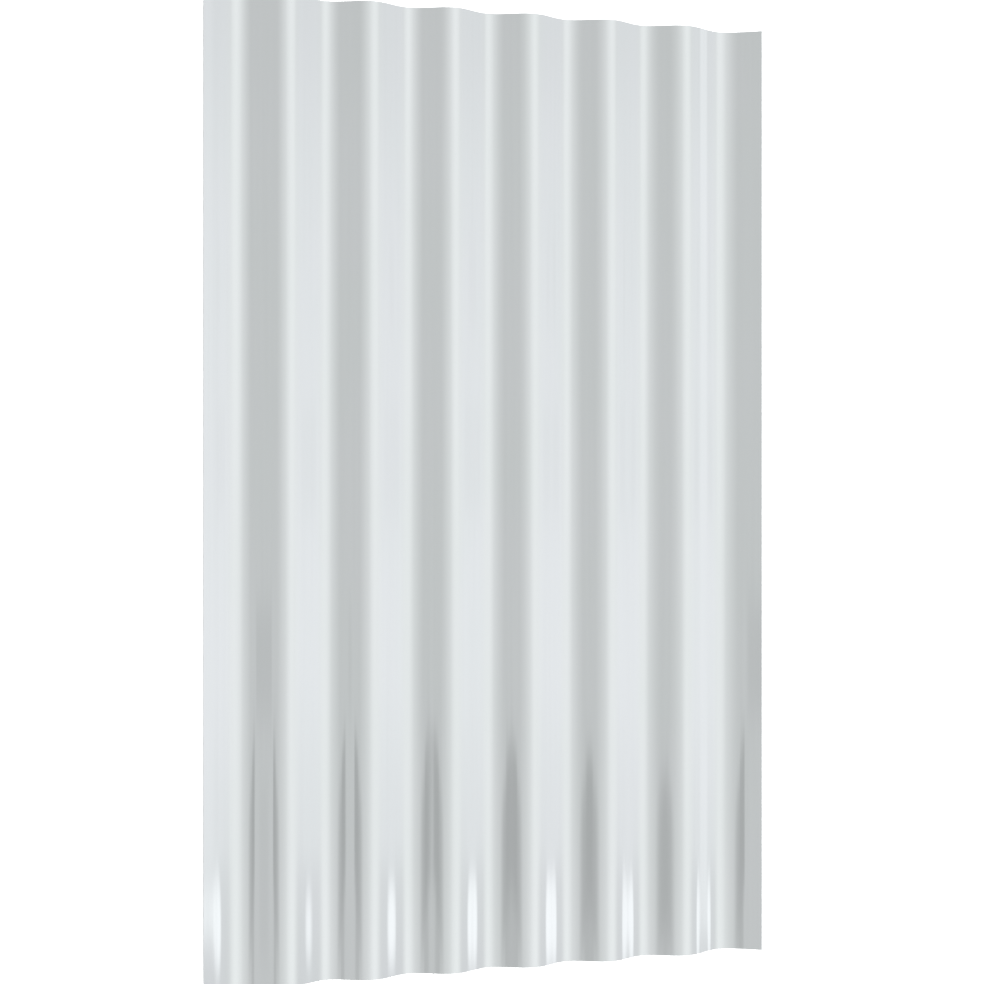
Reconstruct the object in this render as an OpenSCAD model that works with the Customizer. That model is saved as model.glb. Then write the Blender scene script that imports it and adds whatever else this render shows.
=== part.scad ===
// Corrugated metal sheet: one rolled sheet of sine waves, lying flat.
// The waves run along Y and repeat along X. The origin is the centre of the
// footprint, on the plane that the sheet lies on.
// The outermost trough on each side is a little wider and deeper than the others, as
// a lap for the next sheet, so the sheet rests on these two troughs. Beyond each of
// them the steel rises more steeply, in a curve and a flat strip, to the side edge.

/* [Corrugation] */
// Distance from one crest to the next, 2 2/3 in
pitch = 67.73; // [60:0.01:80]
// Depth of the wave, from the top of a trough to the top of a crest, 1/2 in
wave_depth = 12.7; // [9:0.1:15]
// Number of troughs across the sheet
trough_count = 7; // [2:1:12]

/* [Sheet] */
// Length of the sheet, along the waves
sheet_length = 770; // [300:5:3600]
// Thickness of the steel with its zinc coating, 26 gauge
sheet_t = 0.55; // [0.4:0.05:1.2]

/* [Side laps] */
// Length of the larger wave that runs down into the outermost trough on each side
lap_pitch = 73; // [60:0.1:90]
// Depth of that wave, from the crest to the top of the outermost trough
lap_depth = 14.7; // [9:0.1:17]
// Width of the curve that rises out of the outermost trough
rise_width = 26; // [16:0.5:34]
// Width of the flat strip between that curve and the side edge
edge_strip = 5.6; // [2:0.1:16]
// Slope of that strip
edge_angle = 36.5; // [20:0.5:45]

/* [Hidden] */

// Straight facets in one wave, and in the curve beyond the outermost trough. They stay
// a few hundredths of a millimetre off the true curve.
wave_steps = 40;
rise_steps = 16;

// The outermost crest on each side, where the larger wave takes over, then the middle
// of the outermost trough, and the side edge.
last_crest_x = (trough_count / 2 - 1) * pitch;
last_trough_x = last_crest_x + lap_pitch / 2;
edge_x = last_trough_x + rise_width + edge_strip;

// The curve beyond the outermost trough is a quarter of a sine wave. It is steepest
// where the flat strip takes over, and the strip keeps that slope, as rise over run.
edge_slope = tan(edge_angle);
rise_height = edge_slope * rise_width * 2 / PI;

// Heights halfway through the steel. The lowest troughs lie at Z = 0.
crest_z = max(lap_depth, wave_depth) + sheet_t / 2;
last_trough_z = crest_z - lap_depth;

// Depth of a sine wave below its crest, at a distance x from the crest.
function below_crest(x, wave_length, depth) = depth / 2 * (1 - cos(360 * x / wave_length));

// Slope of that wave there, as rise over run.
function slope(x, wave_length, depth) =
    -PI * depth / wave_length * sin(360 * x / wave_length);

// The point at a distance from the centre line at [x, z], square to its slope there.
function off_centre(x, z, rise, distance) =
    [x, z] + distance * [-rise, 1] / norm([rise, 1]);

// Each face is drawn at a distance above the centre line: half the thickness for
// the upper face, and minus that for the lower one.

// Evenly spaced points of the regular waves, between the outermost crests.
function waves(above) = [
    for (k = [0 : (trough_count - 2) * wave_steps])
        let (u = k / wave_steps * pitch)
        off_centre(
            u - last_crest_x,
            crest_z - below_crest(u, pitch, wave_depth),
            slope(u, pitch, wave_depth),
            above
        )
];

// From beyond the outermost crest on the right, down to the middle of the trough.
function lap_fall(above) = [
    for (k = [1 : wave_steps / 2])
        let (u = k / wave_steps * lap_pitch)
        off_centre(
            last_crest_x + u,
            crest_z - below_crest(u, lap_pitch, lap_depth),
            slope(u, lap_pitch, lap_depth),
            above
        )
];

// From there up the curve and the flat strip, to the side edge.
function lap_rise(above) = concat(
    [
        for (k = [1 : rise_steps])
            let (turn = 90 * k / rise_steps)
            off_centre(
                last_trough_x + rise_width * k / rise_steps,
                last_trough_z + rise_height * (1 - cos(turn)),
                edge_slope * sin(turn),
                above
            )
    ],
    [off_centre(edge_x, last_trough_z + rise_height + edge_strip * edge_slope, edge_slope, above)]
);

function right_lap(above) = concat(lap_fall(above), lap_rise(above));

function reversed(points) = [for (i = [len(points) - 1 : -1 : 0]) points[i]];

function mirrored(points) = [for (point = points) [-point.x, point.y]];

// One face of the sheet, from the left side edge to the right one.
function face(above) = concat(
    reversed(mirrored(right_lap(above))),
    waves(above),
    right_lap(above)
);

// The cross-section, with X across the waves and Y upwards.
module section() {
    polygon(concat(face(sheet_t / 2), reversed(face(-sheet_t / 2))));
}

module corrugated_sheet() {
    color([0.85, 0.87, 0.88])
        rotate([90, 0, 0]) linear_extrude(height = sheet_length, center = true) section();
}

corrugated_sheet();
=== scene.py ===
"""Looks for the corrugated metal sheet: bright zinc-coated steel lying flat in soft studio light.

Everything is in metres in the frame's own axes: X across the waves, Y along them, Z up.
"""

import math

import bpy
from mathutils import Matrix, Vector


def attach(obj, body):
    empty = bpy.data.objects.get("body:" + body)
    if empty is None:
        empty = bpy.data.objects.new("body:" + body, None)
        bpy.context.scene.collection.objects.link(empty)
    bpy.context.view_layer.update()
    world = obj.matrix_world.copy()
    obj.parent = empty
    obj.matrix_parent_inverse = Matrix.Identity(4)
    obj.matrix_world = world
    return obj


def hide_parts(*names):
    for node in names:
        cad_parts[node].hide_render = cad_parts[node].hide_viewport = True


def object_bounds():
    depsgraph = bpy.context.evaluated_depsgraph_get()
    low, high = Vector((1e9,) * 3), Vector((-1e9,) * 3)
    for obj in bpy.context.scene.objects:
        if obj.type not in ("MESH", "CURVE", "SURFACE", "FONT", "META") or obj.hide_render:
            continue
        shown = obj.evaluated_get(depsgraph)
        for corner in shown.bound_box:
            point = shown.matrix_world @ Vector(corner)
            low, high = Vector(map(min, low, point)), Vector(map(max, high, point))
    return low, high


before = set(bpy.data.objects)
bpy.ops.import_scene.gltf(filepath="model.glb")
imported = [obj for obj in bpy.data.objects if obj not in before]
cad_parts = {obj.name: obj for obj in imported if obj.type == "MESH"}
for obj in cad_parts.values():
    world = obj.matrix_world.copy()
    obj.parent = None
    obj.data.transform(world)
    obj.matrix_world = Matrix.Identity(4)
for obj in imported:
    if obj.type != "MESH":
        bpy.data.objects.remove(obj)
CAD_LOW, CAD_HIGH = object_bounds()

# The rolled section, as in the CAD source. EDGE_SLOPE is a rise over a run.
PITCH = 0.06773
WAVE_DEPTH = 0.0127
TROUGH_COUNT = 7
LAP_PITCH = 0.073
LAP_DEPTH = 0.0147
RISE_WIDTH = 0.026
EDGE_STRIP = 0.0056
EDGE_SLOPE = math.tan(math.radians(36.5))
SHEET_T = 0.00055
LAST_CREST_X = (TROUGH_COUNT / 2 - 1) * PITCH
CREST_Z = LAP_DEPTH + SHEET_T / 2

# How finely a wave, the curve beyond it, the strip at the edge and the length are divided.
WAVE_STEPS = 56
RISE_STEPS = 22
STRIP_STEPS = 4
LENGTH_STEPS = 72
# How far the cut rims are rounded over, and the least angle that is drawn as an edge.
RIM_BREAK = 0.00009
SHARP_ANGLE = math.radians(50)
# How far the flanks stand from true at most, and the two slow waves they follow: each
# one's share, its turn along Y and along X in radians to the metre, and its start.
UNEVENNESS = 0.00003
WANDER = [(1.0, 17, 31, 0.0), (0.6, 41, -23, 1.3)]
WANDER_SUM = sum(share for share, *_ in WANDER)

# The colour sockets of a mix node.
MIX_A, MIX_B, MIX_RESULT = 6, 7, 2

ZINC = (0.852, 0.893, 0.896, 1.0)
PALE_ZINC = (0.862, 0.897, 0.906, 1.0)
DULL_ZINC = (0.60, 0.63, 0.64, 1.0)
DARK_STEEL = (0.42, 0.44, 0.44, 1.0)
BARE_STEEL = (0.62, 0.64, 0.64, 1.0)
FLOOR_GREY = (0.89, 0.89, 0.89, 1.0)
PALE_FLOOR_GREY = (0.91, 0.91, 0.91, 1.0)

# The floor lies just below the sheet and goes far beyond it.
FLOOR_REACH = 60 * CAD_HIGH.y
FLOOR_GAP = 0.00002

OVERHEAD_ANGLE = math.radians(120)
OVERHEAD_STRENGTH = 8.0

# The camera leans over from straight down towards -X.
CAMERA_LEAN = math.radians(19.75)
CAMERA_DISTANCE = 1.772
CAMERA_LENS_MM = 80.57
CAMERA_SENSOR_MM = 36.0
CAMERA_SHIFT_Y = -0.0015
CAMERA_NEAR = 0.05
CAMERA_FAR = 100.0


# ---------------------------------------------------------------- section

def wave(x, z, u, length, depth):
    """A point of a sine wave at a distance u beyond its crest at (x, z), and its rise there."""
    turn = 2 * math.pi * u / length
    return x + u, z - depth / 2 * (1 - math.cos(turn)), -math.pi * depth / length * math.sin(turn)


def right_lap():
    """From beyond the outermost crest, down the outermost trough and up to the side edge."""
    fall = [wave(LAST_CREST_X, CREST_Z, k / WAVE_STEPS * LAP_PITCH, LAP_PITCH, LAP_DEPTH)
            for k in range(1, WAVE_STEPS // 2 + 1)]
    x, z, _ = fall[-1]
    height = EDGE_SLOPE * RISE_WIDTH * 2 / math.pi
    rise = []
    for k in range(1, RISE_STEPS + 1):
        turn = math.pi / 2 * k / RISE_STEPS
        rise.append((x + RISE_WIDTH * k / RISE_STEPS, z + height * (1 - math.cos(turn)),
                     EDGE_SLOPE * math.sin(turn)))
    x, z, slope = rise[-1]
    strip = [EDGE_STRIP * k / STRIP_STEPS for k in range(1, STRIP_STEPS)]
    strip += [EDGE_STRIP - 2 * RIM_BREAK, EDGE_STRIP - RIM_BREAK, EDGE_STRIP]
    return fall + rise + [(x + run, z + run * slope, slope) for run in strip]


def centre_line():
    """Points and rises halfway through the steel, from the left side edge to the right one."""
    steps = (TROUGH_COUNT - 2) * WAVE_STEPS
    waves = [wave(-LAST_CREST_X, CREST_Z, k / WAVE_STEPS * PITCH, PITCH, WAVE_DEPTH)
             for k in range(steps + 1)]
    right = right_lap()
    left = [(-x, z, -rise) for x, z, rise in reversed(right)]
    return left + waves + right


def unevenness(x, y, rise):
    """How far the steel stands from true after rolling: none where it is level or at the edge."""
    steepness = min(1.0, (rise * PITCH / (math.pi * WAVE_DEPTH)) ** 2)
    from_edge = max(0.0, min(1.0, (CAD_HIGH.x - abs(x)) / RISE_WIDTH))
    wander = sum(share * math.sin(along * y + across * x + start)
                 for share, along, across, start in WANDER)
    return UNEVENNESS * steepness * from_edge * wander / WANDER_SUM


# ---------------------------------------------------------------- sheet

def stations():
    """Places along the sheet, each with how far the rim is rounded over there."""
    half = CAD_HIGH.y
    inner = half - 2 * RIM_BREAK
    level = [inner * (2 * k / LENGTH_STEPS - 1) for k in range(LENGTH_STEPS + 1)]
    level = [RIM_BREAK - half] + level + [half - RIM_BREAK]
    return [(-half, RIM_BREAK)] + [(y, 0.0) for y in level] + [(half, RIM_BREAK)]


def sheet_points(line, rows):
    """Row by row along the sheet: the upper face's points, then the lower face's."""
    points = []
    for y, rim in rows:
        for side in (1, -1):
            for i, (x, z, rise) in enumerate(line):
                broken = RIM_BREAK if i in (0, len(line) - 1) else rim
                off = side * (SHEET_T / 2 - broken) / math.hypot(rise, 1)
                points.append((x - off * rise, y, z + off + unevenness(x, y, rise)))
    return points


def sheet_faces(width, rows):
    """The coated upper and lower faces, then those of the two side edges and two cut ends."""
    coated, cut = [], []
    last, end = width - 1, rows - 1

    def at(row, side, i):
        return (2 * row + side) * width + i

    for row in range(end):
        up = row + 1
        for i in range(last):
            coated.append((at(row, 0, i), at(row, 0, i + 1), at(up, 0, i + 1), at(up, 0, i)))
            coated.append((at(row, 1, i), at(up, 1, i), at(up, 1, i + 1), at(row, 1, i + 1)))
        cut.append((at(row, 0, 0), at(up, 0, 0), at(up, 1, 0), at(row, 1, 0)))
        cut.append((at(row, 0, last), at(row, 1, last), at(up, 1, last), at(up, 0, last)))
    for i in range(last):
        cut.append((at(0, 0, i), at(0, 1, i), at(0, 1, i + 1), at(0, 0, i + 1)))
        cut.append((at(end, 0, i), at(end, 0, i + 1), at(end, 1, i + 1), at(end, 1, i)))
    return coated, cut


def sheet_mesh():
    """One closed mesh, with the coating as its first material and the cut steel as its second."""
    line, rows = centre_line(), stations()
    coated, cut = sheet_faces(len(line), len(rows))
    mesh = bpy.data.meshes.new("corrugated_sheet_skin")
    mesh.from_pydata(sheet_points(line, rows), [], coated + cut)
    mesh.polygons.foreach_set("material_index", [0] * len(coated) + [1] * len(cut))
    mesh.polygons.foreach_set("use_smooth", [True] * len(mesh.polygons))
    mesh.update()
    mesh.set_sharp_from_angle(angle=SHARP_ANGLE)
    return mesh


# ---------------------------------------------------------------- nodes

class Graph:
    """Adds nodes to a tree; a value may be a number or another node's socket."""

    def __init__(self, tree):
        self.tree = tree
        tree.nodes.clear()

    def add(self, kind, **settings):
        node = self.tree.nodes.new(kind)
        for name, value in settings.items():
            setattr(node, name, value)
        return node

    def put(self, value, socket):
        if isinstance(value, bpy.types.NodeSocket):
            self.tree.links.new(value, socket)
        else:
            socket.default_value = value

    def math(self, operation, a, b=0.0):
        node = self.add("ShaderNodeMath", operation=operation)
        self.put(a, node.inputs[0])
        self.put(b, node.inputs[1])
        return node.outputs[0]

    def between(self, value, low, high, out_low=0.0, out_high=1.0, smooth=True):
        """Goes from out_low to out_high as the value goes from low to high."""
        kind = "SMOOTHSTEP" if smooth else "LINEAR"
        node = self.add("ShaderNodeMapRange", interpolation_type=kind, clamp=True)
        for socket, v in zip(node.inputs, (value, low, high, out_low, out_high)):
            self.put(v, socket)
        return node.outputs["Result"]

    def ramp(self, value, stops):
        """A grey level that follows the stops, each given as place and level."""
        node = self.add("ShaderNodeValToRGB")
        elements = node.color_ramp.elements
        while len(elements) < len(stops):
            elements.new(0.5)
        for element, (place, level) in zip(elements, stops):
            element.position = place
            element.color = (level, level, level, 1.0)
        self.put(value, node.inputs["Fac"])
        return node.outputs["Color"]

    def mix(self, share, a, b):
        node = self.add("ShaderNodeMix", data_type="RGBA")
        self.put(share, node.inputs["Factor"])
        self.put(a, node.inputs[MIX_A])
        self.put(b, node.inputs[MIX_B])
        return node.outputs[MIX_RESULT]

    def noise(self, vector, scale, detail=2.0, roughness=0.5):
        node = self.add("ShaderNodeTexNoise")
        self.put(vector, node.inputs["Vector"])
        node.inputs["Scale"].default_value = scale
        node.inputs["Detail"].default_value = detail
        node.inputs["Roughness"].default_value = roughness
        return node.outputs["Fac"]

    def stretched(self, vector, x=1.0, y=1.0, z=1.0):
        node = self.add("ShaderNodeMapping")
        self.put(vector, node.inputs["Vector"])
        node.inputs["Scale"].default_value = (x, y, z)
        return node.outputs["Vector"]


def new_material(name):
    material = bpy.data.materials.new(name)
    material.use_nodes = True
    graph = Graph(material.node_tree)
    shader = graph.add("ShaderNodeBsdfPrincipled")
    output = graph.add("ShaderNodeOutputMaterial")
    graph.put(shader.outputs["BSDF"], output.inputs["Surface"])
    return material, graph, shader


# ---------------------------------------------------------------- materials

def galvanised_steel():
    """Bright, smooth zinc coating with faint streaks along the rolling direction."""
    material, graph, shader = new_material("galvanised_steel")
    place = graph.add("ShaderNodeTexCoord").outputs["Object"]
    streaks = graph.noise(graph.stretched(place, y=0.012), 260.0, detail=3.0, roughness=0.6)
    clouds = graph.noise(graph.stretched(place, y=0.35), 22.0)
    grain = graph.noise(graph.stretched(place, y=0.15), 2600.0, roughness=0.6)

    tint = graph.mix(graph.between(clouds, 0.35, 0.65), ZINC, PALE_ZINC)
    dull = graph.between(streaks, 0.30, 0.75, 0.0, 0.035)
    graph.put(graph.mix(dull, tint, DULL_ZINC), shader.inputs["Base Color"])
    graph.put(graph.between(streaks, 0.25, 0.80, 0.05, 0.09), shader.inputs["Roughness"])
    shader.inputs["Metallic"].default_value = 1.0

    relief = graph.math("ADD", streaks, graph.math("MULTIPLY", grain, 0.4))
    bump = graph.add("ShaderNodeBump")
    bump.inputs["Strength"].default_value = 0.05
    bump.inputs["Distance"].default_value = 0.0001
    graph.put(relief, bump.inputs["Height"])
    graph.put(bump.outputs["Normal"], shader.inputs["Normal"])
    return material


def cut_edge():
    """Sheared bare steel between the two zinc skins, darker and duller."""
    material, graph, shader = new_material("cut_edge")
    place = graph.add("ShaderNodeTexCoord").outputs["Object"]
    shear = graph.noise(graph.stretched(place, z=0.2), 1800.0, detail=3.0, roughness=0.6)
    graph.put(graph.mix(shear, DARK_STEEL, BARE_STEEL), shader.inputs["Base Color"])
    graph.put(graph.between(shear, 0.3, 0.7, 0.32, 0.48), shader.inputs["Roughness"])
    shader.inputs["Metallic"].default_value = 1.0
    return material


def floor_paint():
    """Matt pale paint, very slightly mottled."""
    material, graph, shader = new_material("floor_paint")
    place = graph.add("ShaderNodeTexCoord").outputs["Object"]
    mottle = graph.noise(place, 1.5)
    graph.put(graph.mix(mottle, FLOOR_GREY, PALE_FLOOR_GREY), shader.inputs["Base Color"])
    shader.inputs["Roughness"].default_value = 0.9
    shader.inputs["Specular IOR Level"].default_value = 0.1
    return material


# ---------------------------------------------------------------- pieces

# Only the room shows in mirrored light: the sheet, the floor and the lamp overhead don't.

def add_sheet():
    sheet = bpy.data.objects.new("corrugated_sheet_skin", sheet_mesh())
    bpy.context.scene.collection.objects.link(sheet)
    sheet.data.materials.append(galvanised_steel())
    sheet.data.materials.append(cut_edge())
    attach(sheet, "root")
    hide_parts("corrugated_sheet")
    sheet.visible_glossy = False


def add_floor():
    reach = FLOOR_REACH
    corners = [(-reach, -reach, 0), (reach, -reach, 0), (reach, reach, 0), (-reach, reach, 0)]
    mesh = bpy.data.meshes.new("floor")
    mesh.from_pydata(corners, [], [(0, 1, 2, 3)])
    floor = bpy.data.objects.new("floor", mesh)
    floor.location.z = CAD_LOW.z - FLOOR_GAP
    bpy.context.scene.collection.objects.link(floor)
    mesh.materials.append(floor_paint())
    floor.visible_glossy = False


# ---------------------------------------------------------------- room of light

# Brightness of the room across the waves: degrees from straight up towards +X, and level.
ACROSS = [
    (-90, 0.760), (-75, 0.530), (-63, 0.560), (-55, 0.620), (-34, 0.622), (-27, 0.662),
    (-18, 0.705), (-7, 0.752), (0, 0.792), (6, 0.838), (20, 0.901), (34, 0.908), (50, 0.880),
    (84, 0.870), (88, 0.914), (90, 0.915),
]

# Faint darker panels, each given as its level, its place across and its place along. A place
# is a centre, a reach to each side of it and the softness of its edge, all in degrees.
PANELS = [
    (0.980, (73.5, 8.0, 1.5), (0.8, 1.4, 0.5)),
    (0.980, (79.0, 2.4, 0.8), (5.4, 1.2, 0.6)),
    (0.900, (-49.5, 4.5, 0.8), (-4.4, 1.4, 0.8)),
    (0.940, (-53.0, 4.0, 2.0), (-9.7, 2.2, 0.8)),
]

# Towards both end walls there is a dark band low down and one high up, each given as its
# level and its height: again a centre, a reach and a softness. They set in between these
# angles along, either way.
BANDS = [(0.85, (16.0, 9.0, 8.0)), (0.66, (48.0, 11.0, 8.0))]
BANDS_SET_IN = (19.0, 31.0)

# The room's floor is pale, and sets in between these angles up.
FLOOR_LIGHT = 0.80
FLOOR_SETS_IN = (-6.0, -16.0)

WHITE = (1.0, 1.0, 1.0, 1.0)
COOL_WHITE = (1.003, 1.0, 1.018, 1.0)


class Room:
    """Light by direction, in degrees: across from straight up towards +X, along towards +Y, up.

    Side, end, beyond, inside, patch, oval and both each give a share, from none to one. Scale,
    darken and fill change the light by shares.
    """

    def __init__(self, graph):
        self.graph = graph
        way = graph.add("ShaderNodeTexCoord").outputs["Generated"]
        split = graph.add("ShaderNodeSeparateXYZ")
        graph.put(way, split.inputs[0])
        x, y, z = split.outputs
        degree = 180 / math.pi
        self.across = graph.math("MULTIPLY", graph.math("ARCTAN2", x, z), degree)
        self.along = graph.math("MULTIPLY", graph.math("ARCSINE", y), degree)
        self.up = graph.math("MULTIPLY", graph.math("ARCSINE", z), degree)
        stops = [((angle + 90) / 180, level) for angle, level in ACROSS]
        self.light = graph.ramp(graph.between(self.across, -90.0, 90.0, smooth=False), stops)

    def side(self, low, high):
        """Goes from none at low to one at high, across the room."""
        return self.graph.between(self.across, low, high)

    def end(self, low, high):
        """Goes from none at low to one at high, along the room."""
        return self.graph.between(self.along, low, high)

    def beyond(self, value, low, high):
        """Goes from none at low to one at high, on both sides of zero."""
        return self.graph.between(self.graph.math("ABSOLUTE", value), low, high)

    def inside(self, value, centre, reach, softness):
        """One within reach of the centre and none beyond it, with a soft edge."""
        away = self.graph.math("ABSOLUTE", self.graph.math("SUBTRACT", value, centre))
        return self.graph.between(away, reach - softness, reach + softness, 1.0, 0.0)

    def slanted(self, centre, slant):
        """The angle along, for a patch that slants down towards +X about a centre across."""
        lean = self.graph.math("MULTIPLY", self.graph.math("SUBTRACT", self.across, centre), slant)
        return self.graph.math("ADD", self.along, lean)

    def patch(self, across, along, slant=0.0):
        """A soft oblong, its place each way given as centre, reach and softness."""
        height = self.slanted(across[0], slant)
        return self.both(self.inside(self.across, *across), self.inside(height, *along))

    def oval(self, across, along, softness, slant=0.0):
        """A soft oval, its place each way given as centre and reach."""
        height = self.slanted(across[0], slant)
        squares = []
        for value, (centre, reach) in ((self.across, across), (height, along)):
            away = self.graph.math("DIVIDE", self.graph.math("SUBTRACT", value, centre), reach)
            squares.append(self.graph.math("MULTIPLY", away, away))
        away = self.graph.math("SQRT", self.graph.math("ADD", *squares))
        return self.graph.between(away, 1 - softness, 1 + softness, 1.0, 0.0)

    def both(self, *shares):
        """All the shares multiplied."""
        share = shares[0]
        for other in shares[1:]:
            share = self.graph.math("MULTIPLY", share, other)
        return share

    def scale(self, level, *shares):
        """Multiplies the light by a level where all the shares are one."""
        level = self.graph.between(self.both(*shares), 0.0, 1.0, 1.0, level, smooth=False)
        self.light = self.graph.math("MULTIPLY", self.light, level)

    def darken(self, *patches):
        """Dims the light by the deepest of several patches, each given as level and share."""
        depth = 0.0
        for level, share in patches:
            dimming = self.graph.math("MULTIPLY", share, 1 - level)
            depth = self.graph.math("MAXIMUM", depth, dimming)
        left = self.graph.math("SUBTRACT", 1.0, depth)
        self.light = self.graph.math("MULTIPLY", self.light, left)

    def fill(self, level, share):
        """Brings the light to a level where the share is one."""
        self.light = self.graph.between(share, 0.0, 1.0, self.light, level, smooth=False)


def shade_walls(room):
    """How the walls and ceiling change along the room."""
    bright_wall = room.both(room.side(34.0, 52.0), room.side(88.0, 84.0))
    bright_wall_middle = room.both(room.side(34.0, 60.0), room.side(88.0, 82.0))
    bright_half = room.side(24.0, 34.0)
    dark_wall = room.side(-8.0, -20.0)
    ceiling = room.inside(room.across, centre=8.0, reach=28.0, softness=8.0)
    ceiling_at_the_end = room.inside(room.across, centre=3.0, reach=31.0, softness=6.0)
    for level, part, low, high in (
        # The bright wall falls off towards +Y, and after a brighter stretch towards -Y.
        (0.90, bright_wall, 2.0, 18.0),
        (0.975, bright_half, 8.5, 12.0),
        (1.025, bright_wall, 1.0, -2.4),
        (0.95, bright_wall_middle, -4.5, -9.3),
        (0.90, bright_wall_middle, -9.0, -10.3),
        (0.95, bright_wall_middle, -10.3, -13.0),
        # The dark one falls off a little towards +Y.
        (0.98, dark_wall, 8.5, 12.0),
        # The ceiling is a little brighter towards both ends.
        (1.012, ceiling, -4.0, 4.0),
        (1.030, ceiling_at_the_end, -9.0, -11.8),
    ):
        room.scale(level, part, room.end(low, high))


def add_panels(room):
    """The faint darker panels on both sides."""
    for level, across, along in PANELS:
        room.scale(level, room.patch(across, along))


def add_stand(room):
    """A dark stand at the -Y end: a post, a shelf that fades out towards +X, and a foot."""
    post = room.patch(across=(-39.85, 2.75, 0.6), along=(-8.55, 1.95, 0.55), slant=0.15)
    fading = room.both(room.side(-42.4, -40.0), room.side(-24.0, -38.0))
    height = room.slanted(centre=-37.0, slant=0.1)
    shelf = room.both(fading, room.inside(height, centre=-9.45, reach=2.0, softness=0.7))
    foot = room.patch(across=(-38.8, 2.8, 0.9), along=(-11.8, 1.8, 0.5))
    room.darken((0.72, post), (0.765, shelf), (0.86, foot))


def add_lamp(room):
    """A lamp low on the bright wall at the -Y end, and the dark corner beside it."""
    lamp = room.oval(across=(80.1, 5.8), along=(-11.05, 1.15), softness=0.42, slant=-0.02)
    room.fill(1.08, lamp)
    room.scale(0.85, room.side(82.0, 86.0), room.end(-10.9, -11.8))


def add_bands_and_floor(room):
    """The dark bands towards both end walls, and the room's pale floor."""
    end_walls = room.beyond(room.along, *BANDS_SET_IN)
    for level, height in BANDS:
        room.scale(level, end_walls, room.inside(room.up, *height))
    room.fill(FLOOR_LIGHT, room.graph.between(room.up, *FLOOR_SETS_IN))


def add_surroundings():
    """A pale room of soft light, brighter towards +X. The sheet mirrors it."""
    world = bpy.data.worlds.new("studio")
    world.use_nodes = True
    bpy.context.scene.world = world
    graph = Graph(world.node_tree)
    room = Room(graph)
    shade_walls(room)
    add_panels(room)
    add_stand(room)
    add_lamp(room)
    add_bands_and_floor(room)

    # The bright wall is a touch cooler than the rest.
    tinted = graph.add("ShaderNodeVectorMath", operation="SCALE")
    graph.put(graph.mix(room.side(34.0, 70.0), WHITE, COOL_WHITE), tinted.inputs[0])
    graph.put(room.light, tinted.inputs["Scale"])
    background = graph.add("ShaderNodeBackground")
    graph.put(tinted.outputs[0], background.inputs["Color"])
    output = graph.add("ShaderNodeOutputWorld")
    graph.put(background.outputs[0], output.inputs["Surface"])


# ---------------------------------------------------------------- lamp and camera

def add_overhead_light():
    """Broad soft light from straight above."""
    lamp = bpy.data.lights.new("overhead", "SUN")
    lamp.angle = OVERHEAD_ANGLE
    lamp.energy = OVERHEAD_STRENGTH
    light = bpy.data.objects.new("overhead", lamp)
    light.visible_glossy = False
    bpy.context.scene.collection.objects.link(light)


def add_camera():
    """Leaning over from the -X side, level along the waves, aimed halfway up them."""
    data = bpy.data.cameras.new("camera")
    data.sensor_width = CAMERA_SENSOR_MM
    data.lens = CAMERA_LENS_MM
    data.shift_y = CAMERA_SHIFT_Y
    data.clip_start, data.clip_end = CAMERA_NEAR, CAMERA_FAR
    camera = bpy.data.objects.new("camera", data)
    camera.location = (
        -CAMERA_DISTANCE * math.sin(CAMERA_LEAN),
        0.0,
        CREST_Z - WAVE_DEPTH / 2 + CAMERA_DISTANCE * math.cos(CAMERA_LEAN),
    )
    camera.rotation_euler = (0.0, -CAMERA_LEAN, 0.0)
    bpy.context.scene.collection.objects.link(camera)
    bpy.context.scene.camera = camera


def show_colours_plainly():
    """No film look over the rendered colours."""
    settings = bpy.context.scene.view_settings
    settings.view_transform = "Standard"
    settings.look = "None"


add_camera()
add_sheet()
add_floor()
add_surroundings()
add_overhead_light()
show_colours_plainly()
